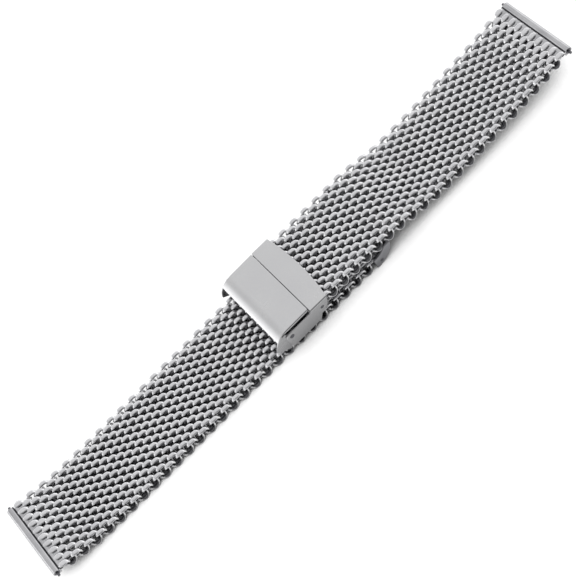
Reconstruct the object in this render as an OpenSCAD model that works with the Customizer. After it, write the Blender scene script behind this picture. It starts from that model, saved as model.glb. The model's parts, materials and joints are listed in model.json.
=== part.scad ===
// Woven mesh watch band with a folding safety clasp, laid flat and closed.
// +X runs along the band to the strap end above, +Y across it, +Z away from the wrist.
// The origin is on the plane that the band rests on, midway between the two lug ends.
// Sizes along the clasp are measured from the edge where flap and cover meet.

/* [Mesh] */
// Width of the woven mesh, which is the lug width of the watch
band_w = 20; // [18:0.5:22]
// Thickness of the mesh, which is the outer diameter of each wire spiral
mesh_t = 3.1; // [3.05:0.05:3.2]
// Distance from one spiral to the next along the band
row_pitch = 1.74; // [1.74:0.01:1.8]
// Thickness of the wire, measured towards the middle of its spiral
wire_t = 0.55; // [0.4:0.05:0.55]
// Width of the wire, measured across the band
wire_w = 0.88; // [0.7:0.02:0.9]
// Turns in one spiral
turns = 9; // [7:1:9]
// Half height of the part where the wire leans across to its next turn
lean_z = 0.42; // [0.3:0.02:0.44]
// Thickness to which the last rows at a lug end are pressed
pressed_t = 2.5; // [2.3:0.1:3]

/* [Straps] */
// Number of spirals in each rigid stretch of the upper strap, from the clasp to the lugs
upper_rows = [13, 6, 6, 6, 6, 6];
// Rise of each stretch of the upper strap, in degrees
upper_rise = [0, -11.5, 0.5, 5, 4.5, 8.5];
// Number of spirals in each rigid stretch of the lower strap, from its tail to the lugs
lower_rows = [16, 7, 7, 7, 6, 6, 6];
// Rise of each stretch of the lower strap, in degrees
lower_rise = [0, 0, 0, 0, 0, 2.5, 12];

/* [End tubes and spring bars] */
// Outer diameter of the tube at each end of a strap
tube_d = 1.9; // [1.8:0.05:2]
// Bore of the tubes at the lug ends
lug_bore_d = 1.4; // [1.36:0.02:1.44]
// Distance from a tube's axis to the face that the mesh is welded to
weld_x = 1; // [1:0.05:1.1]
// How far the spiral at a tube is cut back for its weld
weld_cut = 0.35; // [0.3:0.05:0.4]
// Height of the neck on a tube that the mesh is welded to
weld_h = 1.5; // [1.4:0.1:1.6]
// Outer diameter of a spring bar
bar_d = 1.3; // [1.24:0.02:1.32]
// Inner diameter of a spring bar
bar_bore_d = 1; // [0.98:0.01:1.02]
// Diameter of a spring bar's tip
tip_d = 0.64; // [0.58:0.02:0.66]
// Travel of a tip when it is pressed in
tip_travel = 0.7; // [0.5:0.1:0.8]
// Length of a tip's head inside the bar
head_len = 1.2; // [1:0.1:1.5]
// Wire thickness of the coil spring in a spring bar
coil_wire_d = 0.16; // [0.12:0.02:0.18]
// Turns of the coil spring in a spring bar
coil_turns = 12; // [8:1:14]

/* [Clasp cover] */
// Width over the cover's side walls, beyond the width of the mesh
cover_w = 1.6; // [1.5:0.1:2.2]
// Thickness of the cover's sheet
cover_t = 0.5; // [0.45:0.05:0.5]
// Length of the cover's right-hand plate, at its middle
plate_l = 5.8; // [5.6:0.1:6]
// How far the free edge of that plate bows out
plate_bow = 1; // [0.4:0.1:1]
// Height of the plate at the flap
plate_z = 8.2; // [8.1:0.05:8.3]
// Height of the plate at its free edge
plate_end_z = 8; // [8:0.05:8.1]
// Height of the sunk floor under the flap
floor_z = 6.85; // [6.8:0.05:7]
// Height of the side walls beside the flap
wall_top_z = 7.4; // [7.2:0.05:7.5]
// Height of the side walls' lower edges
wall_bottom_z = 2.4; // [2.2:0.1:2.6]
// Distance from the flap's free edge to the left ends of the side walls
wall_l = 7.8; // [7.7:0.05:8]
// Width of the tongues that snap onto the fold pin
tongue_w = 1.8; // [1.2:0.1:2]
// Length of the sunk floor
floor_l = 7.2; // [6.8:0.1:7.4]

/* [Safety flap] */
// Length of the flap's top, from its free edge to the front bend
flap_l = 6.3; // [6.2:0.05:6.4]
// Height of the flap's top
flap_z = 8.75; // [8.7:0.05:8.9]
// Thickness of the flap's sheet
flap_t = 0.6; // [0.5:0.05:0.65]
// Outer radius of the front bend
flap_bend_r = 5.2; // [5.1:0.05:5.3]
// Angle of the front bend, in degrees
flap_bend = 45; // [42:1:48]
// Depth of the rims along the flap's sides
flap_rim = 0.85; // [0.75:0.05:0.9]
// Thickness of the ears that carry the flap
ear_t = 0.3; // [0.26:0.02:0.32]
// Height of the ears' points
ear_tip_z = 4.9; // [4.6:0.1:5.2]
// Distance from the flap's free edge to its pivot
flap_pivot_x = 6.5; // [6.4:0.05:6.55]
// Height of the flap's pivot
flap_pivot_z = 6.1; // [6:0.05:6.2]
// Diameter of the flap's pivot pins
flap_pin_d = 1.1; // [1:0.05:1.2]

/* [Folding blades] */
// Width of the blades
blade_w = 13; // [11:0.5:14]
// Thickness of the blades
blade_t = 0.5; // [0.4:0.05:0.5]
// Diameter of the pins of the clasp
pin_d = 0.9; // [0.8:0.05:0.95]
// Outer diameter of the knuckles on the fold pin
knuckle_d = 1.8; // [1.7:0.05:1.9]
// Width of the upper blade's middle knuckle
knuckle_w = 5; // [4:0.5:5.5]
// Distance from the flap's free edge to the fold pin
fold_x = 7.75; // [7.6:0.05:7.9]
// Distance from the flap's free edge to the strap pin
strap_pin_x = 2.6; // [2.5:0.05:2.7]
// Distance from the flap's free edge to the tail pin
tail_pin_x = 19.3; // [19.2:0.05:19.4]
// Outer radius of the curved nose at the end of the lower blade
nose_r = 5.15; // [5:0.05:5.2]
// Height to which the nose's cheeks reach
nose_top_z = 5; // [4.6:0.1:5.4]
// Thickness of the nose's cheeks
cheek_t = 0.5; // [0.4:0.05:0.5]

/* [Clearances] */
// Gap between layers that lie on each other
layer_gap = 0.08; // [0.05:0.01:0.1]
// Gap between a pin and the part that turns on it
pin_gap = 0.05; // [0.03:0.01:0.06]
// Gap between parts that pass each other at the sides
side_gap = 0.05; // [0.04:0.01:0.06]
// Gap between the flap's free edge and the cover's plate
flap_gap = 0.15; // [0.1:0.05:0.2]
// Gap between the lower blade and the upper strap
strap_gap = 0.65; // [0.6:0.05:0.7]

/* [Hidden] */
$fn = 48;
eps = 0.01;
mesh_r = mesh_t / 2;
turn_pitch = (band_w - wire_w) / turns;
half_turn = turn_pitch / 2;
first_row = weld_x + mesh_r - weld_cut;

lower_z = mesh_r;
blade_z = mesh_t + layer_gap;
upper_z = blade_z + blade_t + strap_gap + mesh_r;
fold_z = blade_z + knuckle_d / 2;
tube_r = tube_d / 2;
tube_l = band_w;

side_x = (band_w + cover_w) / 2;
ear_x = band_w / 2 + side_gap;
ear_w = 2 * (ear_x + ear_t);
wall_y = ear_x + ear_t + side_gap;
tongue_y = blade_w / 2 + 0.5;
nose_x = tail_pin_x - 1.4;
nose_z = nose_r + 0.25;

steel = [0.76, 0.76, 0.77];
dark_steel = [0.5, 0.5, 0.52];
mesh_steel = [0.66, 0.66, 0.67];

UPPER = ["upper_mesh_1", "upper_mesh_2", "upper_mesh_3", "upper_mesh_4", "upper_mesh_5", "upper_mesh_6"];
LOWER = ["lower_mesh_1", "lower_mesh_2", "lower_mesh_3", "lower_mesh_4", "lower_mesh_5", "lower_mesh_6",
         "lower_mesh_7"];

// Straps

// Rows in the stretches before stretch i
function rows_before(rows, i) = i == 0 ? 0 : rows[i - 1] + rows_before(rows, i - 1);
// Length of stretch i, where the first one starts at its tube
function stretch_l(rows, i) = rows[i] * row_pitch + (i == 0 ? first_row - row_pitch / 2 : 0);
// Where stretch i starts, for a strap that leaves its tube at height z in direction dir
function start_at(rows, rise, x, z, dir, i) = i == 0 ? [x, z] :
  start_at(rows, rise, x, z, dir, i - 1)
  + stretch_l(rows, i - 1) * [dir * cos(rise[i - 1]), sin(rise[i - 1])];

// Axis of the tube at the lug end of a strap
function lug_at(rows, rise, x, z, dir) = let (i = len(rows) - 1)
  start_at(rows, rise, x, z, dir, i)
  + (stretch_l(rows, i) - row_pitch / 2 + first_row) * [dir * cos(rise[i]), sin(rise[i])];

upper_lug = lug_at(upper_rows, upper_rise, strap_pin_x, upper_z, 1);
lower_lug = lug_at(lower_rows, lower_rise, tail_pin_x, lower_z, -1);

// Moves a piece so that the origin is in the middle between the two lug ends
module centred() translate([-(upper_lug[0] + lower_lug[0]) / 2, 0, 0]) children();

module on_stretch(rows, rise, x, z, dir, i) {
  at = start_at(rows, rise, x, z, dir, i);
  translate([at[0], 0, at[1]]) rotate([0, -dir * rise[i], 0]) children();
}

// One strand of wire seen along the band, leaning from the top of the spiral to its bottom
module strand(y, lean) {
  reach = mesh_r + 0.2;
  polygon([[y, reach], [y + wire_w, reach], [y + wire_w, lean_z], [y + wire_w + lean, -lean_z],
           [y + wire_w + lean, -reach], [y + lean, -reach], [y + lean, -lean_z], [y, lean_z]]);
}

// The square end of a wire, which stops half-way down the spiral
module wire_end(y) translate([y, 0]) square([wire_w, 2 * mesh_r]);

// One wire spiral: a tube cut into strands that lean one way on its right side and the other way on its left.
// Every other spiral is turned over, so that its tops lie between its neighbours' tops and each one hooks
// through both neighbours.
module spiral(odd) {
  y0 = -band_w / 2;
  rotate([odd ? 180 : 0, 0, 0]) mirror([0, 1, 0]) intersection() {
    rotate([90, 0, 0]) difference() {
      cylinder(r = mesh_r, h = band_w, center = true);
      cylinder(r = mesh_r - wire_t, h = band_w + 1, center = true);
    }
    union() {
      rotate([90, 0, 90]) linear_extrude(2 * mesh_r) {
        for (k = [0 : turns - 1]) strand(y0 + turn_pitch * k, half_turn);
        wire_end(y0 + turn_pitch * turns);
      }
      translate([-2 * mesh_r, 0, 0]) rotate([90, 0, 90]) linear_extrude(2 * mesh_r) {
        for (k = [1 : turns]) strand(y0 + turn_pitch * k, -half_turn);
        wire_end(y0);
      }
    }
  }
}

// A spiral whose side towards dir is cut square for the weld, pressed to the thickness t
module end_spiral(odd, dir, t) {
  intersection() {
    spiral(odd);
    translate([dir * (first_row - weld_x - 2 * mesh_r), 0, 0])
      cube([4 * mesh_r, band_w + 1, t], center = true);
  }
}

module pressed_spiral(odd) {
  intersection() {
    spiral(odd);
    cube([4 * mesh_r, band_w + 1, pressed_t], center = true);
  }
}

// The rows of stretch i. The strap's first and last rows are welded to a tube, and the last two are pressed flat.
module stretch(rows, rise, x, z, dir, i) {
  last = rows_before(rows, len(rows)) - 1;
  on_stretch(rows, rise, x, z, dir, i)
    for (j = [0 : rows[i] - 1]) {
      n = rows_before(rows, i) + j;
      odd = n % 2 == 1;
      translate([dir * ((i == 0 ? first_row : row_pitch / 2) + j * row_pitch), 0, 0])
        if (n == 0) end_spiral(odd, -dir, mesh_t + 1);
        else if (n == last) end_spiral(odd, dir, pressed_t);
        else if (n == last - 1) pressed_spiral(odd);
        else spiral(odd);
    }
}

module upper_stretch(i) color(mesh_steel) centred() stretch(upper_rows, upper_rise, strap_pin_x, upper_z, 1, i);
module lower_stretch(i) color(mesh_steel) centred() stretch(lower_rows, lower_rise, tail_pin_x, lower_z, -1, i);

// Puts its children at the tube on the lug end of a strap, with +X pointing out of the strap
module at_upper_lug() translate([upper_lug[0], 0, upper_lug[1]])
  rotate([0, -upper_rise[len(upper_rise) - 1], 0]) children();
module at_lower_lug() translate([lower_lug[0], 0, lower_lug[1]])
  rotate([0, lower_rise[len(lower_rise) - 1], 0]) mirror([1, 0, 0]) children();

// A tube across the band with a straight neck towards -X, where the mesh is welded on
module end_tube(length, bore_d) {
  difference() {
    union() {
      rotate([90, 0, 0]) cylinder(d = tube_d, h = length, center = true);
      translate([-weld_x, -length / 2, -weld_h / 2]) cube([weld_x, length, weld_h]);
    }
    rotate([90, 0, 0]) cylinder(d = bore_d, h = length + 1, center = true);
  }
}

module upper_lug_tube() color(steel) centred() at_upper_lug() end_tube(tube_l, lug_bore_d);
module lower_lug_tube() color(steel) centred() at_lower_lug() end_tube(tube_l, lug_bore_d);
module lower_tail_tube()
  color(steel) centred() translate([tail_pin_x, 0, lower_z]) end_tube(tube_l, pin_d + 2 * pin_gap);

// Two short tubes on the strap pin, with the upper blade's knuckle between them
module upper_pin_tubes() {
  length = (tube_l - knuckle_w) / 2 - side_gap;
  color(steel) centred() for (s = [-1, 1])
    translate([strap_pin_x, s * (tube_l - length) / 2, upper_z])
      mirror([1, 0, 0]) end_tube(length, pin_d + 2 * pin_gap);
}

// Spring bars

bar_l = tube_l;
mouth_l = 0.12;
tip_out = tip_travel + 0.1;
head_gap = 0.02;
coil_l = bar_l - 2 * (mouth_l + head_len);

module spring_bar() {
  rotate([90, 0, 0]) difference() {
    cylinder(d = bar_d, h = bar_l, center = true);
    cylinder(d = bar_bore_d, h = bar_l - 2 * mouth_l, center = true);
    cylinder(d = tip_d + 2 * head_gap, h = bar_l + 1, center = true);
  }
}

// A tip with its head inside the bar, at the bar's +Y end
module bar_tip() {
  inner_y = bar_l / 2 - mouth_l;
  rotate([-90, 0, 0]) {
    translate([0, 0, inner_y - head_len]) cylinder(d = bar_bore_d - 2 * head_gap, h = head_len);
    translate([0, 0, inner_y - eps]) cylinder(d = tip_d, h = mouth_l + tip_out + eps);
  }
}

// The coil spring between the two heads, as one unbroken wire
module coil_spring() {
  steps = 8;
  sides = 4;
  rings = coil_turns * steps;
  wire_r = coil_wire_d / 2;
  coil_r = bar_bore_d / 2 - 2 * head_gap - wire_r;
  lead = coil_l - 2 * wire_r;
  points = [for (i = [0 : rings], j = [0 : sides - 1])
    let (turn = 360 * i / steps, side = 360 * j / sides, r = coil_r + wire_r * cos(side))
    [r * cos(turn), lead * (i / rings - 0.5) + wire_r * sin(side), r * sin(turn)]];
  walls = [for (i = [0 : rings - 1], j = [0 : sides - 1])
    let (a = i * sides + j, b = i * sides + (j + 1) % sides) each [[a, b, b + sides], [a, b + sides, a + sides]]];
  first = [[for (j = [sides - 1 : -1 : 0]) j]];
  last = [[for (j = [0 : sides - 1]) rings * sides + j]];
  polyhedron(points, concat(first, walls, last));
}

module upper_spring_bar() color(steel) centred() at_upper_lug() spring_bar();
module lower_spring_bar() color(steel) centred() at_lower_lug() spring_bar();
module upper_tip_far() color(dark_steel) centred() at_upper_lug() bar_tip();
module upper_tip_near() color(dark_steel) centred() at_upper_lug() mirror([0, 1, 0]) bar_tip();
module lower_tip_far() color(dark_steel) centred() at_lower_lug() bar_tip();
module lower_tip_near() color(dark_steel) centred() at_lower_lug() mirror([0, 1, 0]) bar_tip();
module upper_coil_spring() color(dark_steel) centred() at_upper_lug() coil_spring();
module lower_coil_spring() color(dark_steel) centred() at_lower_lug() coil_spring();

// Clasp

// Extrudes a shape drawn in X and Z to the width w, centred on the band
module across(w) rotate([90, 0, 0]) linear_extrude(w, center = true) children();

// The same on both sides of the band, from the distance y outwards
module both_sides(y, t) for (s = [0, 1]) mirror([0, s, 0])
  translate([0, y + t, 0]) rotate([90, 0, 0]) linear_extrude(t) children();

// A pin across the band
module cross_pin(x, z, d, length) translate([x, 0, z]) rotate([90, 0, 0]) cylinder(d = d, h = length, center = true);

// The side wall of the cover, seen from the side, with a rounded corner beside the flap's ear
module cover_side_shape() {
  difference() {
    polygon([[-wall_l, wall_bottom_z], [plate_l - 5, wall_bottom_z], [plate_l - 4.05, wall_bottom_z + 1.55],
             [plate_l - 2.5, wall_bottom_z + 2.1], [plate_l - 1.7, wall_bottom_z + 3.1],
             [plate_l - 1.3, wall_bottom_z + 4.2], [plate_l - 1.05, plate_end_z - 0.1],
             [0, plate_z - cover_t / 2], [0, wall_top_z],
             [-wall_l + 0.8, wall_top_z], [-wall_l + 0.4, wall_top_z - 0.11], [-wall_l + 0.11, wall_top_z - 0.4],
             [-wall_l, wall_top_z - 0.8]]);
    translate([strap_pin_x, upper_z]) circle(d = pin_d);
    translate([-flap_pivot_x, flap_pivot_z]) circle(d = flap_pin_d);
  }
}

module clasp_cover() {
  bow_r = (side_x * side_x + plate_bow * plate_bow) / (2 * plate_bow);
  ear_slot = flap_pivot_x - 1.5;
  color(steel) centred() union() {
    intersection() {
      across(2 * side_x) polygon([[0, plate_z], [plate_l, plate_end_z], [plate_l, plate_end_z - cover_t],
        [cover_t, plate_z - 1.2 * cover_t], [cover_t, floor_z - cover_t], [0, floor_z - cover_t]]);
      translate([plate_l - bow_r, 0, 0]) cylinder(r = bow_r, h = 2 * plate_z, $fn = 180);
    }
    translate([-ear_slot, -side_x, floor_z - cover_t]) cube([ear_slot + eps, 2 * side_x, cover_t]);
    translate([-floor_l, -ear_x + side_gap, floor_z - cover_t])
      cube([floor_l, 2 * (ear_x - side_gap), cover_t]);
    both_sides(wall_y, side_x - wall_y) cover_side_shape();
    snap_tongues();
  }
}

// Two tongues that hang from the sunk floor and snap behind the ends of the fold pin
module snap_tongues() {
  translate([-fold_x + pin_d / 2 + side_gap, 0, fold_z - 0.25])
    both_sides(tongue_y, tongue_w) square([cover_t, floor_z - fold_z]);
}

// Moves a shape to the centre of the flap's front bend
module at_bend() translate([-flap_l, flap_z - flap_bend_r]) children();

// An ear of the flap and the rim that it grows from. Its front edge goes on along the arc of the front bend.
module flap_side_shape() {
  px = -flap_pivot_x;
  pz = flap_pivot_z;
  rim_z = flap_z - flap_rim;
  translate([-flap_l, rim_z]) square([flap_l - flap_gap, flap_rim]);
  difference() {
    intersection() {
      at_bend() circle(r = flap_bend_r);
      polygon([[-flap_l + eps, flap_z], [px - 5.5, flap_z], [px - 5.5, ear_tip_z], [px - 1.86, pz - 4.3],
               [px - 0.5, pz - 2.7], [px + 0.9, pz - 0.9], [px + 1.2, pz], [px + 1, pz + 0.8],
               [px + 0.3, pz + 1.1], [px - 0.7, pz + 1.1], [px - 1.1, rim_z], [-flap_l + eps, rim_z]]);
    }
    translate([px, pz]) circle(d = flap_pin_d + 2 * pin_gap);
  }
}

// The sheet of the front bend, seen from the side
module flap_bend_shape() {
  at_bend() intersection() {
    difference() {
      circle(r = flap_bend_r);
      circle(r = flap_bend_r - flap_t);
    }
    polygon([[eps, 0], [eps, 2 * flap_bend_r], [0, 2 * flap_bend_r],
             2 * flap_bend_r * [-sin(flap_bend), cos(flap_bend)]]);
  }
}

module safety_flap() {
  color(steel) centred() union() {
    translate([-flap_l, -ear_w / 2, flap_z - flap_t]) cube([flap_l - flap_gap, ear_w, flap_t]);
    across(ear_w) flap_bend_shape();
    both_sides(ear_x, ear_t) flap_side_shape();
  }
}

// Two short pins that carry the flap in the cover's side walls
module flap_pins() color(dark_steel) centred() for (s = [0, 1]) mirror([0, s, 0])
  translate([-flap_pivot_x, ear_x, flap_pivot_z]) rotate([-90, 0, 0])
    cylinder(d = flap_pin_d, h = side_x - ear_x + 0.05);

module strap_pin() color(dark_steel) centred() cross_pin(strap_pin_x, upper_z, pin_d, 2 * side_x);
module fold_pin() color(dark_steel) centred()
  cross_pin(-fold_x, fold_z, pin_d, 2 * (tongue_y + tongue_w + 0.2));
module tail_pin() color(dark_steel) centred() cross_pin(tail_pin_x, lower_z, pin_d, 2 * (ear_x + cheek_t));

// The upper blade, from its middle knuckle on the fold pin to the one on the strap pin
module upper_blade() {
  knuckle_r = knuckle_d / 2;
  from_x = -fold_x + knuckle_r + pin_gap + 0.15;
  to_x = strap_pin_x - tube_r - pin_gap - 0.15;
  color(steel) centred() difference() {
    union() {
      across(knuckle_w) {
        translate([-fold_x, fold_z]) circle(r = knuckle_r);
        translate([strap_pin_x, upper_z]) circle(r = tube_r);
        polygon([[-fold_x, fold_z + 0.1], [strap_pin_x, upper_z - 0.25], [strap_pin_x, upper_z + 0.25],
                 [-fold_x, fold_z + 0.1 + blade_t]]);
      }
      intersection() {
        across(blade_w) polygon([[-fold_x, fold_z + 0.1], [strap_pin_x, upper_z - 0.25],
          [strap_pin_x, upper_z + 0.25], [-fold_x, fold_z + 0.1 + blade_t]]);
        translate([from_x, -blade_w / 2, 0]) cube([to_x - from_x, blade_w, 2 * upper_z]);
      }
    }
    cross_pin(-fold_x, fold_z, pin_d + 2 * pin_gap, blade_w + 1);
    cross_pin(strap_pin_x, upper_z, pin_d + 2 * pin_gap, blade_w + 1);
  }
}

// A cheek of the nose: a crescent that is thick round the tail pin and thin at its upper end
module nose_side_shape() {
  difference() {
    union() {
      translate([tail_pin_x, lower_z]) circle(r = tube_r);
      intersection() {
        difference() {
          translate([nose_x, nose_z]) circle(r = nose_r);
          translate([nose_x - 0.1, nose_z + 2.8]) circle(r = nose_r - 0.3);
        }
        translate([nose_x - 0.3, 0]) square([nose_r + 1, nose_top_z]);
      }
    }
    translate([tail_pin_x, lower_z]) circle(d = pin_d);
  }
}

// The sheet of the nose between its cheeks, which stays under the upper strap
module nose_shell_shape() {
  intersection() {
    difference() {
      translate([nose_x, nose_z]) circle(r = nose_r);
      translate([nose_x, nose_z]) circle(r = nose_r - blade_t);
    }
    translate([tail_pin_x + tube_r + 0.35, 0]) square([nose_r, upper_z - mesh_r - 2 * layer_gap]);
  }
}

// The lower blade, with its outer knuckles on the fold pin and its curved nose round the strap's tail
module lower_blade() {
  knuckle_r = knuckle_d / 2;
  nose_w = 2 * (ear_x + cheek_t);
  rise = nose_z - blade_z;
  blade_end_x = nose_x + sqrt(nose_r * nose_r - rise * rise) - 0.25;
  color(steel) centred() difference() {
    union() {
      difference() {
        across(blade_w) {
          translate([-fold_x, fold_z]) circle(r = knuckle_r);
          translate([-fold_x, blade_z]) square([fold_x + blade_end_x, blade_t]);
        }
        translate([-fold_x - 2 * knuckle_r, -knuckle_w / 2 - side_gap, 0])
          cube([3 * knuckle_r + 0.2, knuckle_w + 2 * side_gap, 2 * fold_z]);
      }
      across(nose_w) nose_shell_shape();
      both_sides(ear_x, cheek_t) nose_side_shape();
    }
    cross_pin(-fold_x, fold_z, pin_d, blade_w + 1);
  }
}

upper_stretch(0);  // upper_mesh_1
upper_stretch(1);  // upper_mesh_2
upper_stretch(2);  // upper_mesh_3
upper_stretch(3);  // upper_mesh_4
upper_stretch(4);  // upper_mesh_5
upper_stretch(5);  // upper_mesh_6
lower_stretch(0);  // lower_mesh_1
lower_stretch(1);  // lower_mesh_2
lower_stretch(2);  // lower_mesh_3
lower_stretch(3);  // lower_mesh_4
lower_stretch(4);  // lower_mesh_5
lower_stretch(5);  // lower_mesh_6
lower_stretch(6);  // lower_mesh_7
upper_pin_tubes();
upper_lug_tube();
lower_tail_tube();
lower_lug_tube();
clasp_cover();
safety_flap();
flap_pins();
strap_pin();
upper_blade();
fold_pin();
lower_blade();
tail_pin();
upper_spring_bar();
upper_tip_far();
upper_tip_near();
upper_coil_spring();
lower_spring_bar();
lower_tip_far();
lower_tip_near();
lower_coil_spring();
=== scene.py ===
# %% [markdown]
# # A woven mesh watch band with a folding clasp
# The band is two straps of woven steel wire, joined by a clasp of bent steel sheet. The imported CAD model
# gives every piece its place and size. This script gives it the looks: wire with a rounded section, sheet
# with soft edges, and steel that is lit the way a small product is lit on a table.

# %% Load the frame
import json
import math

import bmesh
import bpy
from mathutils import Matrix, Vector

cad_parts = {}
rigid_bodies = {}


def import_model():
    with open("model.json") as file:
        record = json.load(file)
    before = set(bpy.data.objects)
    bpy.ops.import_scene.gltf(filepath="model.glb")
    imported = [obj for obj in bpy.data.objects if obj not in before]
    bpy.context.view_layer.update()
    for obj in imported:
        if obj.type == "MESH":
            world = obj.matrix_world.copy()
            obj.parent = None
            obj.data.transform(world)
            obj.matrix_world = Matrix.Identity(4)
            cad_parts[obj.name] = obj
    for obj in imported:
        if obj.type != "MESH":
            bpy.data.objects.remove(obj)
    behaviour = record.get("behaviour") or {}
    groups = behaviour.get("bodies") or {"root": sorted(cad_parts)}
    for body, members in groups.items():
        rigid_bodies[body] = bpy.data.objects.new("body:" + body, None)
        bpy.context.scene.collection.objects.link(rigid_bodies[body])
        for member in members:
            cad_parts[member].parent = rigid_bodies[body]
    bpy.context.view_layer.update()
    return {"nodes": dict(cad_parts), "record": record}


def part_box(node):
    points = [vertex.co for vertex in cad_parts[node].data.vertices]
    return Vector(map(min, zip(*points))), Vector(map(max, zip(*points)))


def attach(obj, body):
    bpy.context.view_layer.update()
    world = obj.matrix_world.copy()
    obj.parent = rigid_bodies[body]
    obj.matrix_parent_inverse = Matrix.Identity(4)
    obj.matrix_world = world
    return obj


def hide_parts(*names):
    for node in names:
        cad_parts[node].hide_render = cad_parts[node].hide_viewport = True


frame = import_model()
nodes = frame["nodes"]

# %% [markdown]
# ## Where the camera stands
# The photograph looks across the band from the side and down on it, with the camera turned so that the band
# runs from corner to corner. The three angles, the distance and the lens were fitted to points that show in
# the photograph, such as the ends of the two tubes. A camera in Blender looks along its own -Z axis, so its
# matrix is written from three directions: right, up and back.

# %% Camera
MM = 0.001
IMAGE_HEIGHT_PX, FOCAL_PX = 584, 1416.7
SENSOR_HEIGHT = 36
VIEW_AROUND, VIEW_DOWN, VIEW_ROLL = math.radians(1.96), math.radians(58.24), math.radians(-43.38)
AIM = Vector((-0.62, 1.75, 0)) * MM
DISTANCE = 318.6 * MM


def camera_axes(around, down, roll):
    """The camera's right, up and back, for a view that far round, that far down and rolled by so much."""
    look = Vector((math.sin(around) * math.cos(down), math.cos(around) * math.cos(down), -math.sin(down)))
    right = look.cross(Vector((0, 0, 1))).normalized()
    up = right.cross(look)
    rolled_right = right * math.cos(roll) + up * math.sin(roll)
    rolled_up = up * math.cos(roll) - right * math.sin(roll)
    return rolled_right, rolled_up, -look


def add_camera():
    """A camera in the photograph's place."""
    data = bpy.data.cameras.new("camera")
    data.sensor_fit = "VERTICAL"
    data.sensor_height = SENSOR_HEIGHT
    data.lens = FOCAL_PX * SENSOR_HEIGHT / IMAGE_HEIGHT_PX
    data.clip_start, data.clip_end = 0.01, 10
    camera = bpy.data.objects.new("camera", data)
    bpy.context.scene.collection.objects.link(camera)
    right, up, back = camera_axes(VIEW_AROUND, VIEW_DOWN, VIEW_ROLL)
    place = Matrix((right, up, back)).transposed().to_4x4()
    place.translation = AIM + back * DISTANCE
    camera.matrix_world = place
    bpy.context.scene.camera = camera
    return camera


camera = add_camera()
print("camera at", [round(c, 4) for c in camera.location], "lens", round(camera.data.lens, 1), "mm")

# %% [markdown]
# ## Helpers for materials
# Colours are written as sRGB hex values, the way a colour picker shows them, and one function turns them
# into the linear values that the shaders use. One small function adds a node, sets its values and links its
# inputs.


# %% Colour and node helpers
def linear(hex_value):
    """The linear values of an sRGB hex colour, with an alpha of 1."""
    channels = [int(hex_value[i:i + 2], 16) / 255 for i in (1, 3, 5)]
    return tuple(c / 12.92 if c <= 0.04045 else ((c + 0.055) / 1.055) ** 2.4 for c in channels) + (1,)


def add_node(tree, kind, settings=None, **inputs):
    """Adds a node. An input goes by its name, with _ for a space, or by its number, as in i0.

    An input that is given another node's output is linked to it, and any other value is set.
    """
    node = tree.nodes.new(kind)
    for name, value in (settings or {}).items():
        setattr(node, name, value)
    for name, value in inputs.items():
        key = int(name[1:]) if name[0] == "i" and name[1:].isdigit() else name.replace("_", " ")
        socket = node.inputs[key]
        if isinstance(value, bpy.types.NodeSocket):
            tree.links.new(value, socket)
        else:
            socket.default_value = value
    return node


def new_material(name, **surface):
    """A material with one Principled shader, and that shader's values."""
    material = bpy.data.materials.new(name)
    material.use_nodes = True
    tree = material.node_tree
    tree.nodes.clear()
    out = add_node(tree, "ShaderNodeOutputMaterial")
    shader = add_node(tree, "ShaderNodeBsdfPrincipled", **surface)
    tree.links.new(shader.outputs["BSDF"], out.inputs["Surface"])
    return material, tree, shader


print("mid grey #808080 is", round(linear("#808080")[0], 3), "in linear values")

# %% [markdown]
# ## Steel
# The whole band is one metal, austenitic stainless steel, which is slightly warmer and darker than chrome.
# What differs from piece to piece is how the surface was made, and on some pieces painted shade. An image
# of scratched steel would show its seams on so many small pieces, so each finish is built from noise. Real
# scratches are far finer than a pixel, which covers 0.22 mm here, so they show only as roughness. The grain
# is drawn at 0.2 to 0.3 mm, as coarse as it needs to show, and smears of wear, a few millimetres long,
# change the tone a little.

# %% One function for every steel
# Noise seldom leaves this range, so a finish goes from its dark end to its light end over it.
NOISE_LOW, NOISE_HIGH = 0.3, 0.7
# The share of a face's direction that points across the band where the painted shade on the sides starts and
# where it is full.
SIDE_SHADE_STARTS, SIDE_SHADE_FULL = 0.85, 0.98
# The grain is this share of its own size deep.
GRAIN_DEPTH = 0.1


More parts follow.
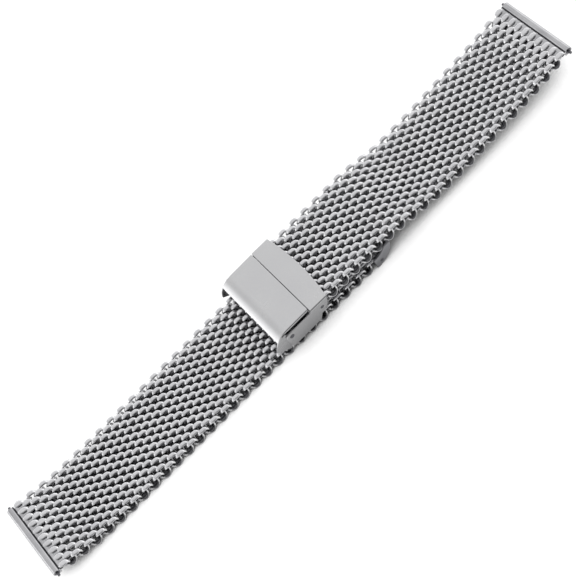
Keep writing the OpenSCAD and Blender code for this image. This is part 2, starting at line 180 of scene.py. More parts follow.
def steel(name, light, dark, roughness, grain_mm, stretch, bump, spots_mm=4.0, painted_side_shade=1.0):
    """Stainless steel with a grain of that size, drawn out along one axis, and broad smears of wear.

    Faces that look across the band get painted shade: their colour is darkened by the factor given for the
    sides.
    """
    material, tree, shader = new_material(name, Metallic=1.0)
    place = add_node(tree, "ShaderNodeTexCoord").outputs["Object"]
    grain_place = add_node(tree, "ShaderNodeMapping", Vector=place, Scale=stretch).outputs["Vector"]
    grain = add_node(tree, "ShaderNodeTexNoise", Vector=grain_place, Scale=1 / (grain_mm * MM), Detail=3.0,
                     Roughness=0.6).outputs["Fac"]
    smear = add_node(tree, "ShaderNodeTexNoise", Vector=place, Scale=1 / (spots_mm * MM),
                     Detail=2.0).outputs["Fac"]
    both = add_node(tree, "ShaderNodeMix", {"data_type": "FLOAT"}, i0=0.5, i2=grain, i3=smear).outputs[0]
    tone = add_node(tree, "ShaderNodeValToRGB", Fac=both)
    for stop, at, shade in zip(tone.color_ramp.elements, (NOISE_LOW, NOISE_HIGH), (dark, light)):
        stop.position = at
        stop.color = linear(shade)
    colour = tone.outputs["Color"]
    # Painted shade: the colour of faces that look across the band is darkened.
    if painted_side_shade < 1:
        facing = add_node(tree, "ShaderNodeTexCoord").outputs["Normal"]
        facing = add_node(tree, "ShaderNodeVectorMath", {"operation": "ABSOLUTE"}, i0=facing).outputs[0]
        facing = add_node(tree, "ShaderNodeSeparateXYZ", Vector=facing).outputs["Y"]
        share = add_node(tree, "ShaderNodeMapRange", i0=facing, i1=SIDE_SHADE_STARTS, i2=SIDE_SHADE_FULL, i3=1.0,
                         i4=painted_side_shade).outputs[0]
        colour = add_node(tree, "ShaderNodeVectorMath", {"operation": "SCALE"}, i0=colour,
                          Scale=share).outputs[0]
    tree.links.new(colour, shader.inputs["Base Color"])
    smoothest, roughest = roughness
    rough = add_node(tree, "ShaderNodeMapRange", i0=both, i1=NOISE_LOW, i2=NOISE_HIGH, i3=smoothest,
                     i4=roughest).outputs[0]
    tree.links.new(rough, shader.inputs["Roughness"])
    relief = add_node(tree, "ShaderNodeBump", Height=grain, Strength=bump,
                      Distance=grain_mm * MM * GRAIN_DEPTH).outputs["Normal"]
    tree.links.new(relief, shader.inputs["Normal"])
    return material


print("noise from", NOISE_LOW, "to", NOISE_HIGH, "takes a finish from its dark end to its light end")

# %% The band's finishes
# Drawn wire, rolled flat after weaving and tumbled: bright, with fine pits that blur its highlights.
WIRE = steel("rolled_steel_wire", "#e2e2e4", "#c6c6c9", roughness=(0.2, 0.32), grain_mm=0.25,
             stretch=(1, 1, 1), bump=0.4)
# Bent sheet with a satin polish: an even light grey and a faint grain along the band, with painted shade on
# its sides.
SHEET = steel("satin_steel_sheet", "#cfcfd0", "#c9c9cb", roughness=(0.24, 0.28), grain_mm=0.3,
              stretch=(0.3, 1, 1), bump=0.03, spots_mm=7.0, painted_side_shade=0.68)
# Sheet as it comes from the mill, inside the clasp: greyer and duller, with a plain grain along the band.
MILL = steel("mill_steel_sheet", "#a4a4a7", "#88888c", roughness=(0.32, 0.5), grain_mm=0.3,
             stretch=(0.3, 1, 1), bump=0.3)
# Drawn tube: fine lines along it, which break up the highlight that runs from end to end.
TUBE = steel("drawn_steel_tube", "#cacacc", "#a8a8ab", roughness=(0.2, 0.3), grain_mm=0.2,
             stretch=(1, 0.06, 1), bump=0.4)
# Turned pins and spring bars: left as the lathe cut them, so they look duller than the tube. Their colour is
# also painted darker, as painted shade, since they sit in shade.
TURNED_PAINTED_SHADE = steel("turned_steel", "#7c7c80", "#55555a", roughness=(0.3, 0.45), grain_mm=0.2,
               stretch=(1, 0.4, 1), bump=0.3)
print("finishes:", ", ".join(m.name for m in (WIRE, SHEET, MILL, TUBE, TURNED_PAINTED_SHADE)))

# %% [markdown]
# ## Wear, painted shade and a painted highlight on the wire
# A worn band is polished where its wires bend over each other, so the wire is less rough there, and its
# colour there is painted near white, as a painted highlight. Where the wires face into the mesh, their
# colour is painted darker, as painted shade. Both follow the wire, so they could not be painted in Object
# coordinates. Instead each coil is built with two attributes, one for the wear with its painted highlight
# and one for the painted shade inside, and the material reads them by name.

# %% Wear, painted shade and a painted highlight
# Where the wire is worn at its bends it is less rough, and its colour is painted near white there as a
# painted highlight: the highlight's colour, how much of it and of the wear shows, and the worn roughness.
PAINTED_HIGHLIGHT_TONE, WEAR_AND_HIGHLIGHT_SHARE, WORN_ROUGHNESS = "#ffffff", 0.9, 0.14
# The colour of the painted shade where the wire faces into the mesh.
PAINTED_SHADE_TONE = "#626265"


def add_wear_and_painted_light(material):
    """Paints shade on the wire where it faces into the mesh, and at its bends makes it less rough for wear
    and paints a highlight on it.
    """
    tree = material.node_tree
    shader = next(n for n in tree.nodes if n.type == "BSDF_PRINCIPLED")
    inside = add_node(tree, "ShaderNodeAttribute", {"attribute_name": "inside"}).outputs["Fac"]
    worn = add_node(tree, "ShaderNodeAttribute", {"attribute_name": "worn"}).outputs["Fac"]
    worn = add_node(tree, "ShaderNodeMath", {"operation": "MULTIPLY"}, i0=worn, i1=WEAR_AND_HIGHLIGHT_SHARE).outputs[0]
    colour = shader.inputs["Base Color"].links[0].from_socket
    # A painted highlight at the bends, then painted shade where the wire faces into the mesh.
    for share, tone in ((worn, PAINTED_HIGHLIGHT_TONE), (inside, PAINTED_SHADE_TONE)):
        colour = add_node(tree, "ShaderNodeMix", {"data_type": "RGBA"}, i0=share, i6=colour,
                          i7=linear(tone)).outputs[2]
    tree.links.new(colour, shader.inputs["Base Color"])
    rough = shader.inputs["Roughness"].links[0].from_socket
    rough = add_node(tree, "ShaderNodeMix", {"data_type": "FLOAT"}, i0=worn, i2=rough,
                     i3=WORN_ROUGHNESS).outputs[0]
    tree.links.new(rough, shader.inputs["Roughness"])


add_wear_and_painted_light(WIRE)
print("the wire's material has", len(WIRE.node_tree.nodes), "nodes")

# %% [markdown]
# ## A finish for every piece
# The record names a material slot for every CAD piece, such as tubes or pins. Each slot gets one finish, so
# the pieces that need no new shape, such as the pins, are done here, straight on the CAD model.

# %% Finishes on the CAD pieces
FINISH = {"woven_wire": WIRE, "clasp_sheet": SHEET, "blade_sheet": MILL, "tubes": TUBE, "bars": TURNED_PAINTED_SHADE,
          "pins": TURNED_PAINTED_SHADE, "spring_steel": TURNED_PAINTED_SHADE}

slots = {s["node"]: s["material_slot"] for s in frame["record"]["subparts"]}
for name, node in nodes.items():
    node.data.materials.clear()
    node.data.materials.append(FINISH[slots[name]])
print("finishes on", len(nodes), "CAD nodes")

# %% [markdown]
# ## The woven mesh
# Each row of the mesh is one wire, wound into a flat coil as wide as the band. Its neighbours are the same
# coil turned over, half a turn along, and each hooks through both. Modelling a single coil well and
# repeating it is how the real mesh is made too, so one wire is swept here with a rounded section, and
# Geometry Nodes set it out in rows.
#
# A plain helix would not look woven. This coil runs nearly straight over its top, leans to the next half
# turn as it goes round its side, and runs nearly straight under.

# %% The wire's path and section
BAND_W, WIRE_W, WIRE_T = 20.0, 0.88, 0.55
TURNS, ROW_PITCH, COIL_R = 9, 1.74, 1.55
HALF_TURN = (BAND_W - WIRE_W) / TURNS / 2
# The part of the turn, on each side of its outermost point, in which the wire leans across.
LEAN = math.radians(50)
# The share of the way across that it makes at an even rate all round.
SLANT = 0.34
# Below 1, this makes the coil's round section squarer.
SQUARENESS = 0.78
# Half of the wire's section, flat outside and round inside: distance from its middle and height, in mm.
HALF_SECTION = ((0.1, 0.275), (0.28, 0.245), (0.4, 0.15), (0.44, 0.0), (0.38, -0.17), (0.22, -0.275))
SIDES = 2 * len(HALF_SECTION)
# Points of the section at least this far out move by the whole spread where the wire is pressed.
WHOLE_SPREAD_AT = 0.38


def coil_point(angle):
    """A point on the wire's middle line, where angle 0 is the first top and 180 degrees the first bottom."""
    radius = COIL_R - WIRE_T / 2
    half_turns = angle / math.pi
    whole = math.floor(half_turns)
    rest = half_turns - whole
    leant = min(max(((rest - 0.5) * math.pi / LEAN + 1) / 2, 0), 1)
    along = whole + (1 - SLANT) * leant + SLANT * rest
    x, z = math.sin(angle), math.cos(angle)
    return Vector((radius * math.copysign(abs(x) ** SQUARENESS, x),
                   WIRE_W / 2 - BAND_W / 2 + HALF_TURN * min(max(along, 0), 2 * TURNS),
                   radius * math.copysign(abs(z) ** SQUARENESS, z)))


def wire_section(spread):
    """The points round the wire's section, where pressing has spread it by so much on each side."""
    half = [(w + spread * min(w / WHOLE_SPREAD_AT, 1), t) for w, t in HALF_SECTION]
    return half + [(-w, t) for w, t in reversed(half)]


print("half a turn every", round(HALF_TURN, 3), "mm, with", SIDES, "points round the wire")

# %% [markdown]
# ## Sweeping a coil
# A curve with a bevel could sweep the wire, but it can't widen the section on one side of the mesh only. So
# the section is set out point by point along the path: it faces away from the coil's middle and spreads
# where the wire lies flat on top or below. The section's points also know whether they face inwards, and
# its rings whether they are on a bend, and that is what the two attributes hold: the painted shade, and
# the wear with its painted highlight.

# %% Sweep a coil
# Rings of points for each half turn, and how far ahead the sweep looks for its direction, in radians.
STEPS, LOOK_AHEAD = 12, 0.02
RINGS = STEPS * (2 * TURNS + 1) + 1
# The wire spreads within this distance of the coil's middle, in mm.
PRESSED_REACH = 1.25


def sweep_coil(name, top, bottom):
    """One row of wire, whose strands spread sideways by so much where they are pressed, on top and below."""
    points, faces = [], []
    for i in range(RINGS):
        angle = -math.pi / 2 + math.pi * i / STEPS
        middle = coil_point(angle)
        out = Vector((math.sin(angle), 0, math.cos(angle)))
        ahead = (coil_point(angle + LOOK_AHEAD) - coil_point(angle - LOOK_AHEAD)).normalized()
        side = ahead.cross(out).normalized()
        out = side.cross(ahead)
        flat = 0.5 + 0.5 * math.cos(math.pi * min(abs(middle.x) / PRESSED_REACH, 1))
        spread = (top if middle.z > 0 else bottom) * flat
        points += [(middle + side * w + out * t) * MM for w, t in wire_section(spread)]
    for i in range(RINGS - 1):
        for j in range(SIDES):
            k = (j + 1) % SIDES
            faces.append((i * SIDES + j, i * SIDES + k, (i + 1) * SIDES + k, (i + 1) * SIDES + j))
    for end in (0, RINGS - 1):
        faces.append(tuple(end * SIDES + j for j in range(SIDES)))
    mesh = bpy.data.meshes.new(name)
    # The photograph's wires lean the other way, so the sweep is mirrored and its faces turned out again.
    mesh.from_pydata([(x, -y, z) for x, y, z in points], [], faces)
    build = bmesh.new()
    build.from_mesh(mesh)
    bmesh.ops.recalc_face_normals(build, faces=build.faces)
    build.to_mesh(mesh)
    build.free()
    mesh.shade_smooth()
    return mesh


print(RINGS, "rings of", SIDES, "points make one coil")

# %% Painted shade, wear and a painted highlight along a coil
# The painted shade darkens the wire from its middle inwards and is darkest this deep, in mm.
SHADE_DEPTH = 0.25
# How far round from the side to the top or underside the wear and its painted highlight are strongest, and
# how far they go.
WEAR_AND_HIGHLIGHT_AT, WEAR_AND_HIGHLIGHT_REACH = 0.5, 0.4


def mark_coil(mesh):
    """Writes down for every point of a coil how much painted shade it takes where it faces into the mesh,
    and how much wear and painted highlight it takes.
    """
    inside = [min(max(-t / SHADE_DEPTH, 0), 1) for _, t in wire_section(0)] * RINGS
    worn = []
    for i in range(RINGS):
        from_side = abs(math.sin(math.pi * i / STEPS))
        worn += [max(0, 1 - abs(from_side - WEAR_AND_HIGHLIGHT_AT) / WEAR_AND_HIGHLIGHT_REACH)] * SIDES
    mesh.attributes.new("inside", "FLOAT", "POINT").data.foreach_set("value", inside)
    mesh.attributes.new("worn", "FLOAT", "POINT").data.foreach_set("value", worn)


print("the wire is darkest", SHADE_DEPTH, "mm in from its middle")

# %% The kinds of coil
# How far the wire is spread on top and below, in mm. The underside is rolled smooth for the wrist. Towards
# a lug the top is pressed too, in three steps.
PRESSED = ((0.1, 0.4), (0.18, 0.4), (0.28, 0.4))
COILS = bpy.data.collections.new("coils")
bpy.context.scene.collection.children.link(COILS)
for step, (top, bottom) in enumerate(PRESSED):
    # Every other row is turned over, so its top and bottom change places.
    for turned_over, spreads in enumerate(((top, bottom), (bottom, top))):
        coil = sweep_coil(f"coil_{2 * step + turned_over}", *spreads)
        mark_coil(coil)
        COILS.objects.link(bpy.data.objects.new(coil.name, coil))

# %% [markdown]
# ## Rows along the straps
# The straps bend, so the rows can't be one plain array. The CAD model is built of rigid stretches, each of
# a few rows at one slope, and the mesh follows them exactly, so that it bends at the same hinges. Every row
# becomes one point that carries what Geometry Nodes need to know about it: its slope, whether it is turned
# over, how flat it is pressed and which kind of coil it is.

# %% Rows from the band's own numbers
# For each stretch from the clasp on, its rows and how steeply it rises, in degrees.
UPPER_ROWS, UPPER_RISE = (13, 6, 6, 6, 6, 6), (0, -11.5, 0.5, 5, 4.5, 8.5)
LOWER_ROWS, LOWER_RISE = (16, 7, 7, 7, 6, 6, 6), (0, 0, 0, 0, 0, 2.5, 12)
# A tube's radius, the distance from its axis to the weld, and how far the first row is sunk in, in mm.
TUBE_R, WELD_X, WELD_SINK = 0.95, 1.0, 0.35
FIRST_ROW = WELD_X + COIL_R - WELD_SINK


def strap_rows(tube_node, rows, rise, direction):
    """The rows of each stretch of a strap as (x, z, slope, number), in mm and degrees, from the clasp on."""
    low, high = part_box(tube_node)
    x = high.x / MM - TUBE_R if direction < 0 else low.x / MM + TUBE_R
    at = Vector((x, (low.z + high.z) / 2 / MM))
    stretches, number = [], 0
    for count, slope in zip(rows, rise):
        step = Vector((direction * math.cos(math.radians(slope)), math.sin(math.radians(slope))))
        first = ROW_PITCH / 2 if stretches else FIRST_ROW
        middles = [at + step * (first + j * ROW_PITCH) for j in range(count)]
        stretches.append([(m.x, m.y, -direction * slope, number + j) for j, m in enumerate(middles)])
        number += count
        at = at + step * (first + (count - 0.5) * ROW_PITCH)
    return stretches


UPPER = strap_rows("upper_pin_tubes", UPPER_ROWS, UPPER_RISE, 1)
LOWER = strap_rows("lower_tail_tube", LOWER_ROWS, LOWER_RISE, -1)
for name, strap in (("upper", UPPER), ("lower", LOWER)):
    last_x = round(strap[-1][-1][0], 2)
    print(name, "strap:", sum(len(s) for s in strap), "rows, the last at x", last_x, "mm")

# %% [markdown]
# ## A Geometry Nodes tree that sets out the rows
# An Array modifier would repeat one coil in a straight line, and a loop in Python would copy the same wire
# 98 times. A tree does it once for all the stretches. It takes the points, puts on each its kind of coil,
# turns it by the point's own attributes, and turns it a hair further at random, because no woven mesh is
# perfect. It ends in Realize Instances and Set Material, so that the result is a plain mesh.

# %% Geometry Nodes for the rows
TREE_INPUTS = {"Geometry": "NodeSocketGeometry", "Coils": "NodeSocketCollection",
               "Looseness": "NodeSocketFloat", "Seed": "NodeSocketInt", "Finish": "NodeSocketMaterial"}
# What each point carries: its slope and its turn, in radians, its height as a share, and its kind of coil.
ROW_VALUES = {"slope": "FLOAT", "flip": "FLOAT", "press": "FLOAT", "kind": "INT"}


def rows_tree():
    """A tree that sets a coil on every point, as the point's values say."""
    tree = bpy.data.node_groups.new("wire_rows", "GeometryNodeTree")
    for name, kind in TREE_INPUTS.items():
        tree.interface.new_socket(name, in_out="INPUT", socket_type=kind)
    tree.interface.new_socket("Geometry", in_out="OUTPUT", socket_type="NodeSocketGeometry")
    given = add_node(tree, "NodeGroupInput").outputs
    row = {}
    for name, data_type in ROW_VALUES.items():
        row[name] = add_node(tree, "GeometryNodeInputNamedAttribute", {"data_type": data_type},
                             Name=name).outputs[0]
    turn = add_node(tree, "ShaderNodeCombineXYZ", X=row["flip"], Y=row["slope"]).outputs[0]
    size = add_node(tree, "ShaderNodeCombineXYZ", X=1.0, Y=1.0, Z=row["press"]).outputs[0]
    shake = add_node(tree, "FunctionNodeRandomValue", {"data_type": "FLOAT_VECTOR"},
                     Seed=given["Seed"]).outputs[0]
    shake = add_node(tree, "ShaderNodeVectorMath", {"operation": "SUBTRACT"}, i0=shake,
                     i1=(0.5, 0.5, 0.5)).outputs[0]
    shake = add_node(tree, "ShaderNodeVectorMath", {"operation": "SCALE"}, i0=shake,
                     Scale=given["Looseness"]).outputs[0]
    turn = add_node(tree, "ShaderNodeVectorMath", {"operation": "ADD"}, i0=turn, i1=shake).outputs[0]
    turn = add_node(tree, "FunctionNodeEulerToRotation", i0=turn).outputs[0]
    coils = add_node(tree, "GeometryNodeCollectionInfo", Collection=given["Coils"], Separate_Children=True)
    rows = add_node(tree, "GeometryNodeInstanceOnPoints", Points=given["Geometry"],
                    Instance=coils.outputs[0], Pick_Instance=True, Instance_Index=row["kind"],
                    Rotation=turn, Scale=size).outputs[0]
    rows = add_node(tree, "GeometryNodeRealizeInstances", Geometry=rows).outputs[0]
    rows = add_node(tree, "GeometryNodeSetMaterial", Geometry=rows, Material=given["Finish"]).outputs[0]
    add_node(tree, "NodeGroupOutput", Geometry=rows)
    return tree


ROWS_TREE = rows_tree()
print("tree with", len(ROWS_TREE.nodes), "nodes")

# %% [markdown]
# ## From points to pieces
# The band bends between its stretches, so each stretch is a piece of its own that rides on the body of the
# CAD piece that it stands in for. The points of a stretch get their values, the tree grows the wires, and
# the result is copied as a plain mesh, because other programs can read that and can't read a live modifier.

# %% A point for every row
# The last two rows before a lug are of the flattest kind, and the two before them of the kind between.
FLAT_ROWS, FLATTENING_ROWS = 2, 4
# The flattest rows are also squashed to this share of their height.
PRESS_AT_LUG = 0.8


def row_points(name, rows, last_number):
    """One point for every row, with the values that the tree reads."""
    numbers = [n for _, _, _, n in rows]
    # A step is 0 for most rows, 1 where the mesh starts to flatten and 2 for the flattest rows.
    steps = [(n > last_number - FLATTENING_ROWS) + (n > last_number - FLAT_ROWS) for n in numbers]
    values = {"slope": [math.radians(s) for _, _, s, _ in rows],
              "flip": [math.pi * (n % 2) for n in numbers],
              "press": [PRESS_AT_LUG if step == 2 else 1.0 for step in steps],
              "kind": [2 * step + n % 2 for step, n in zip(steps, numbers)]}
    points = bpy.data.meshes.new(name)
    points.from_pydata([(x * MM, 0, z * MM) for x, z, _, _ in rows], [], [])
    for key, data_type in ROW_VALUES.items():
        points.attributes.new(key, data_type, "POINT").data.foreach_set("value", values[key])
    return points


print("each point carries", ", ".join(ROW_VALUES))

# %% Grow each stretch and make it plain
# The range of the random turns.
LOOSENESS = math.radians(0.6)


def stand_in(piece, node, body):
    """The piece takes the place of the CAD node: it moves with that body, and the CAD node is hidden."""
    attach(piece, body)
    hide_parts(node)


def woven_stretch(name, body, node, rows, last_number, seed):
    """One stretch of mesh, grown on its points, made plain and put in the place of its CAD node."""
    holder = bpy.data.objects.new(name + "_points", row_points(name + "_points", rows, last_number))
    bpy.context.scene.collection.objects.link(holder)
    grow = holder.modifiers.new("rows", "NODES")
    grow.node_group = ROWS_TREE
    sockets = {s.name: s.identifier for s in ROWS_TREE.interface.items_tree if s.in_out == "INPUT"}
    grow[sockets["Coils"]] = COILS
    grow[sockets["Looseness"]] = LOOSENESS
    grow[sockets["Seed"]] = seed
    grow[sockets["Finish"]] = WIRE
    bpy.context.view_layer.update()
    grown = holder.evaluated_get(bpy.context.evaluated_depsgraph_get())
    mesh = bpy.data.meshes.new_from_object(grown)
    holder.modifiers.clear()
    bpy.data.objects.remove(holder)
    piece = bpy.data.objects.new(name, mesh)
    bpy.context.scene.collection.objects.link(piece)
    stand_in(piece, node, body)
    return piece


faces = 0
for strap_name, strap in (("upper", UPPER), ("lower", LOWER)):
    last = strap[-1][-1][3]
    for i, rows in enumerate(strap):
        # Each stretch has a seed of its own, and it is always the same one.
        seed = 10 * i + len(strap)
        piece = woven_stretch(f"{strap_name}_weave_{i + 1}", f"{strap_name}_strap_{i + 1}",
                              f"{strap_name}_mesh_{i + 1}", rows, last, seed)
        faces += len(piece.data.polygons)
# The coils were only the patterns for the rows.
for coil in list(COILS.objects):
    bpy.data.objects.remove(coil)
bpy.data.collections.remove(COILS)
print("woven mesh:", faces, "faces")

# %% [markdown]
# ## Soft edges on the bent sheet
# Sheet that has been blanked, bent and polished has no sharp edge anywhere, and the thin bright line along
# each edge is what tells the eye that it is metal. A shader could fake that line, but where the top of the
# sheet turns down into its sides the bend is wide enough to be seen as a shape. So each CAD solid of the
# clasp is copied, its loose triangles are merged into flat faces, and a Bevel modifier rounds its edges,
# each by its own weight. Weighted normals then keep the flat faces flat, and only the rounds are shaded as
# rounds.

# %% Edges that a Bevel modifier can round
# Outer radius of the sheet where its sides are bent down, in mm, which is what a weight of 1 gives.
BEND_R = 0.4
SHEET_EDGE = {"width": BEND_R * MM, "segments": 3, "limit_method": "WEIGHT", "use_clamp_overlap": False}
# Faces that meet at a smaller angle than this are one smooth surface.
SHARP = math.radians(30)
# Only edges on the sheet's outer sides are bends: beyond this y, and level in y to this much, in mm.
SIDE_Y, LEVEL = 10.3, 0.01
# A bend opens from its left-hand end to its full radius over this length, in mm.
BEND_OPENS = 2.5
# The Weighted Normal modifier's highest setting: the largest faces count for everything.
LARGEST_FACES = 100
# In a merged copy, points this near, in metres, are one point, and faces this level are one face.
SAME_POINT, SAME_FACE = 1e-6, math.radians(1)


def merged_copy(node):
    """A copy of a CAD piece's mesh, and its faces open for editing, merged from the loose triangles."""
    mesh = nodes[node].data.copy()
    build = bmesh.new()
    build.from_mesh(mesh)
    bmesh.ops.remove_doubles(build, verts=build.verts, dist=SAME_POINT)
    bmesh.ops.dissolve_limit(build, angle_limit=SAME_FACE, verts=build.verts, edges=build.edges)
    return mesh, build


def bend_weight(edge, bend):
    """The share of the bend's radius that an edge takes, or 0 where the edge isn't part of the bend."""
    low_x, high_x, low_z = bend
    ends = [v.co / MM for v in edge.verts]
    if abs(ends[0].y - ends[1].y) >= LEVEL:
        return 0
    if not all(low_x <= p.x <= high_x and p.z >= low_z and abs(p.y) > SIDE_Y for p in ends):
        return 0
    return min(1.0, (max(p.x for p in ends) - low_x) / BEND_OPENS)


def rounded_piece(name, mesh, bevel):
    """An object whose edges are rounded by a Bevel modifier with these settings."""
    mesh.shade_smooth()
    piece = bpy.data.objects.new(name, mesh)
    bpy.context.scene.collection.objects.link(piece)
    edge = piece.modifiers.new("edge", "BEVEL")
    for setting, value in bevel.items():
        setattr(edge, setting, value)
    shading = piece.modifiers.new("shading", "WEIGHTED_NORMAL")
    shading.weight = LARGEST_FACES
    return piece


# The gap between the flap's right-hand end and the cover, in mm.
FLAP_GAP = 0.15
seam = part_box("safety_flap")[1].x / MM + FLAP_GAP
print("the cover meets the flap at x", round(seam, 3), "mm")

# %% [markdown]
# ## The clasp's four sheets
# The cover and the flap show their bends, so they take the wide radius along them. The two blades inside
# the clasp are thin sheet, and all their edges take a small radius.


# %% Soft copies of the clasp's sheets
def soften(node, body, finish, radius_mm, bend=None):
    """A copy of a CAD piece with round edges, of which those in the bend are rounded wide."""
    mesh, build = merged_copy(node)
    weight = build.edges.layers.float.new("bevel_weight_edge")
    wide = 0
    for edge in build.edges:
        if not edge.is_manifold or edge.calc_face_angle(0) < SHARP:
            continue
        bent = bend_weight(edge, bend) if bend else 0
        edge[weight] = max(radius_mm / BEND_R, bent)
        wide += bent > 0
    build.to_mesh(mesh)
    build.free()
    mesh.materials.clear()
    mesh.materials.append(finish)
    piece = rounded_piece(node + "_soft", mesh, SHEET_EDGE)
    stand_in(piece, node, body)
    print(node, "softened by", radius_mm, "mm,", wide, "edges bent wider")
    return piece


# Where each bend is: its low x, high x and low z, in mm. The cover's starts just before the seam, and the
# flap's on its rounded front.
COVER_BEND = (seam - 0.1, 6, 7.8)
FLAP_BEND = (-10.4, 0, 7.3)
soften("clasp_cover", "clasp_cover", SHEET, radius_mm=0.1, bend=COVER_BEND)
soften("safety_flap", "safety_flap", SHEET, radius_mm=0.1, bend=FLAP_BEND)
soften("lower_blade", "lower_blade", MILL, radius_mm=0.1)
soften("upper_blade", "upper_blade", MILL, radius_mm=0.08)

# %% [markdown]
# ## The welded ends
# At a lug end the last row is pressed into a strip of braze, and behind it the tube's neck lies lower, in a
# groove where shade falls. From above that neck is the thin dark line between mesh and tube. A second
# material on the neck's faces paints that line dark and dull, as painted shade, at its true place, and plain
# boxes inside the last row stand for the braze that ran on into it.

# %% The neck's painted shade and the braze
# Dark, dull steel on the neck: painted shade for the groove between mesh and tube, which mirrors next to
# nothing.
NECK_PAINTED_SHADE = steel("heated_steel", "#4a4a4d", "#2c2c2f", roughness=(0.5, 0.65), grain_mm=0.3, stretch=(1, 1, 1),
             bump=0.3)
# The length and height of the braze, in mm: a strip into the last row, and what has run on inside it.
BRAZE = ((0.75, 2.0), (2.4, 1.7), (3.6, 1.0))
# Its width, and how much lower each length of it ends, in mm.
BRAZE_W, BRAZE_DROP = BAND_W - 1.2, 0.2


def add_braze(build, axis, inward, turn):
    """Adds a box for each length of braze, laid out from the tube's axis towards the mesh."""
    for length, height in BRAZE:
        for v in bmesh.ops.create_cube(build, size=1.0)["verts"]:
            share = v.co.x + 0.5
            x = (WELD_X + length * share) * MM
            z = (height - BRAZE_DROP * share) * v.co.z * MM
            v.co = axis + inward * x + turn @ Vector((0, 0, z)) + Vector((0, v.co.y * BRAZE_W * MM, 0))


print("braze in", len(BRAZE), "lengths, each", round(BRAZE_W, 1), "mm wide")

# %% Tubes with their welds
# The faces of the neck lie beyond the first distance from the tube's axis, towards the mesh, and beyond the
# second in any direction, in mm.
NECK_FROM, NECK_R = 0.6, 0.97
# Each end face of the tube and its neck lies beyond this y, in mm.
TUBE_END = 9.9
TUBE_EDGE = {"width": 0.06 * MM, "segments": 2, "limit_method": "ANGLE", "angle_limit": math.radians(35)}


def welded_tube(node, body, slope, direction):
    """A lug tube with its neck painted dark, as painted shade, and the braze in the last row of the mesh."""
    mesh, build = merged_copy(node)
    low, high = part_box(node)
    turn = Matrix.Rotation(math.radians(-direction * slope), 4, "Y")
    inward = turn @ Vector((-direction, 0, 0))
    neck_end = max(v.co.dot(inward) for v in mesh.vertices if abs(v.co.y) > TUBE_END * MM)
    middle = (low + high) / 2
    axis = middle - inward * (middle.dot(inward) - (neck_end - WELD_X * MM))
    dark = 0
    for face in build.faces:
        offset = face.calc_center_median() - axis
        offset.y = 0
        beyond = offset.dot(inward) > NECK_FROM * MM and offset.length > NECK_R * MM
        is_end_face = abs(face.normal.y) >= 0.5
        face.material_index = int(beyond and not is_end_face)
        dark += face.material_index
    add_braze(build, axis, inward, turn)
    bmesh.ops.recalc_face_normals(build, faces=build.faces)
    # The two finishes go on before the faces do, because clearing them later would reset each face's choice.
    mesh.materials.clear()
    mesh.materials.append(TUBE)
    mesh.materials.append(NECK_PAINTED_SHADE)
    build.to_mesh(mesh)
    build.free()
    piece = rounded_piece(node + "_welded", mesh, TUBE_EDGE)
    stand_in(piece, node, body)
    print(node, "axis at", [round(c / MM, 2) for c in axis], dark, "dark faces")
    return piece


welded_tube("upper_lug_tube", "upper_strap_6", UPPER_RISE[-1], 1)
welded_tube("lower_lug_tube", "lower_strap_7", LOWER_RISE[-1], -1)

# %% [markdown]
# ## The ground
# The photograph has a white ground with next to no shadow, and the steel shows grey against it. A floor
# that is lit until it turns white would light the band from below as well. This one is pale paint that
# glows only for the camera and for what the steel mirrors. An Ambient Occlusion node measures how much sky
# the band covers, and the glow fades there, which leaves a faint shadow and keeps the gaps of the mesh
# dark.

# %% The floor's paint
# Matt paint on a table. It is drawn darker than white, because the glow gives the rest of its brightness.
FLOOR_PAINT = "#9a9a9a"
# How far away, in mm, something still covers the floor's sky.
SKY_REACH = 12
# The open share of the sky at which a glow starts, the share at which it is full, and the full glow.
CAMERA_GLOW = (0.4, 0.56, 0.92)
MIRROR_GLOW = (0.3, 1.0, 0.8)


def floor_paint():
    """Matt paint that also glows, as far as the sky above it is open."""
    material = bpy.data.materials.new("white_table")
    material.use_nodes = True
    tree = material.node_tree
    tree.nodes.clear()
    ray = add_node(tree, "ShaderNodeLightPath").outputs
    sky = add_node(tree, "ShaderNodeAmbientOcclusion", {"samples": 6}, Distance=SKY_REACH * MM).outputs["AO"]
    mirror = add_node(tree, "ShaderNodeMath", {"operation": "MAXIMUM"}, i0=ray["Is Glossy Ray"],
                      i1=ray["Is Transmission Ray"]).outputs[0]
    glows = []
    for seen, (start, full, most) in ((ray["Is Camera Ray"], CAMERA_GLOW), (mirror, MIRROR_GLOW)):
        glow = add_node(tree, "ShaderNodeMapRange", {"interpolation_type": "SMOOTHSTEP"}, i0=sky, i1=start,
                        i2=full, i3=0.0, i4=most).outputs[0]
        glow = add_node(tree, "ShaderNodeMath", {"operation": "MULTIPLY"}, i0=seen, i1=glow).outputs[0]
        glows.append(glow)
    level = add_node(tree, "ShaderNodeMath", {"operation": "MAXIMUM"}, i0=glows[0], i1=glows[1]).outputs[0]
    glow = add_node(tree, "ShaderNodeEmission", Color=(1, 1, 1, 1), Strength=level).outputs[0]
    paint = add_node(tree, "ShaderNodeBsdfDiffuse", Color=linear(FLOOR_PAINT)).outputs[0]
    both = add_node(tree, "ShaderNodeAddShader", i0=paint, i1=glow).outputs[0]
    add_node(tree, "ShaderNodeOutputMaterial", Surface=both)
    return material


print("the floor glows up to", CAMERA_GLOW[2], "for the camera and", MIRROR_GLOW[2], "in mirrors")

# %% The floor
# How far the floor reaches from the middle, and how far it lies under the band, in metres.
FLOOR_REACH, FLOOR_DROP = 1.5, 0.02 * MM


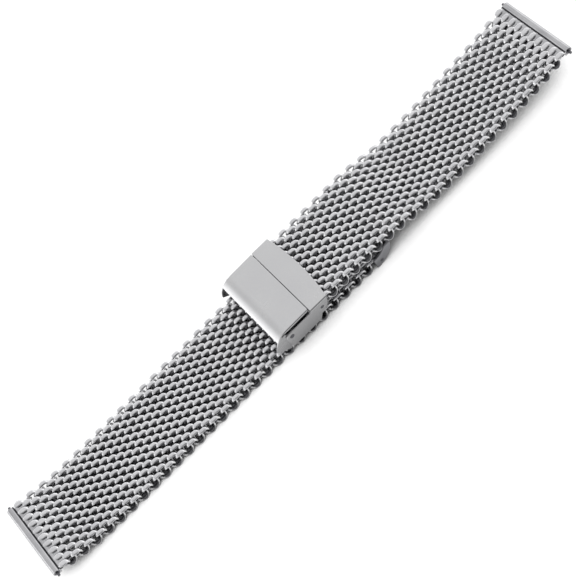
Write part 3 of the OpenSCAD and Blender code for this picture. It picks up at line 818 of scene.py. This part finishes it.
def add_floor():
    """A large square just under the band."""
    mesh = bpy.data.meshes.new("floor")
    corners = [(x * FLOOR_REACH, y * FLOOR_REACH, 0) for x, y in ((-1, -1), (1, -1), (1, 1), (-1, 1))]
    mesh.from_pydata(corners, [], [(0, 1, 2, 3)])
    mesh.materials.append(floor_paint())
    floor = bpy.data.objects.new("floor", mesh)
    floor.location.z = -FLOOR_DROP
    bpy.context.scene.collection.objects.link(floor)
    return floor


floor = add_floor()
print("floor", 2 * FLOOR_REACH, "m wide at z", round(floor.location.z / MM, 3), "mm")

# %% [markdown]
# ## The light
# Polished steel has no colour of its own: it shows what is around it. So the light is a room rather than a
# few lamps. It could be built of walls, but a world whose brightness depends only on the direction does the
# same with no objects. It has a nearly even ceiling, walls on the left, right and at the back, a bright
# strip low on the left with a weak lamp behind it, and an unlit side in front, where the photographer
# stands, which is lighter to both sides. That, with the painted highlight at each wire's bends and the
# painted shade where it faces into the mesh, is why each wire is bright at its left end and dark on its
# near side.

# %% The room as the world
# Directions in the room: X points right along the band, Y away from the camera and Z up.
CEILING = 0.9
# Towards the left, over this range of X, the ceiling is dimmed down to this share.
CEILING_LEFT, CEILING_FADE = 0.86, (-0.5, -0.15)
# Each part of the room has a brightness, and fades along two axes, from where it is full to where it ends.
ROOM = {"left wall": (0.65, ("X", -0.8, -0.45), ("Z", 0.15, 0.7)),
        "right wall": (0.8, ("X", 0.8, 0.45), ("Z", 0.15, 0.7)),
        "back wall": (0.6, ("Y", 0.9, 0.6), ("Z", 0.15, 0.7)),
        "strip": (1.6, ("X", -0.8, -0.6), ("Z", 0.02, 0.14)),
        "lamp": (0.2, ("X", -0.75, -0.6), ("Y", 0.45, 0.3))}
# Towards the front, over this range of Y, the whole room is dimmed down to this share.
DARK_FRONT, FRONT_FADE = 0.16, (-0.95, 0.3)
# Out to the sides, over this range of X either way, it still keeps up to this share.
LIT_SIDES, SIDES_FADE = 0.6, (0.2, 0.6)


def add_room():
    """A world that is as bright in each direction as the room would be there."""
    world = bpy.data.worlds.new("room")
    bpy.context.scene.world = world
    world.use_nodes = True
    tree = world.node_tree
    tree.nodes.clear()
    place = add_node(tree, "ShaderNodeTexCoord").outputs["Generated"]
    way = add_node(tree, "ShaderNodeSeparateXYZ", Vector=place).outputs
    fade = {"interpolation_type": "SMOOTHSTEP"}
    level = add_node(tree, "ShaderNodeMapRange", fade, i0=way["X"], i1=CEILING_FADE[0], i2=CEILING_FADE[1],
                     i3=CEILING_LEFT * CEILING, i4=CEILING).outputs[0]
    for brightness, *fades in ROOM.values():
        wall = brightness
        for axis, full, gone in fades:
            share = add_node(tree, "ShaderNodeMapRange", fade, i0=way[axis], i1=full, i2=gone, i3=1.0,
                             i4=0.0).outputs[0]
            wall = add_node(tree, "ShaderNodeMath", {"operation": "MULTIPLY"}, i0=wall, i1=share).outputs[0]
        level = add_node(tree, "ShaderNodeMath", {"operation": "ADD"}, i0=level, i1=wall).outputs[0]
    aside = add_node(tree, "ShaderNodeMath", {"operation": "ABSOLUTE"}, i0=way["X"]).outputs[0]
    aside = add_node(tree, "ShaderNodeMapRange", fade, i0=aside, i1=SIDES_FADE[0], i2=SIDES_FADE[1], i3=0.0,
                     i4=LIT_SIDES).outputs[0]
    front = add_node(tree, "ShaderNodeMapRange", fade, i0=way["Y"], i1=FRONT_FADE[0], i2=FRONT_FADE[1],
                     i3=DARK_FRONT, i4=1.0).outputs[0]
    front = add_node(tree, "ShaderNodeMath", {"operation": "MAXIMUM"}, i0=front, i1=aside).outputs[0]
    level = add_node(tree, "ShaderNodeMath", {"operation": "MULTIPLY"}, i0=level, i1=front).outputs[0]
    back = add_node(tree, "ShaderNodeBackground", Color=(1, 1, 1, 1), Strength=level).outputs[0]
    add_node(tree, "ShaderNodeOutputWorld", Surface=back)


add_room()
bpy.context.scene.view_settings.view_transform = "Standard"
print("ceiling", CEILING, "and", len(ROOM), "more parts of the room:", ", ".join(ROOM))
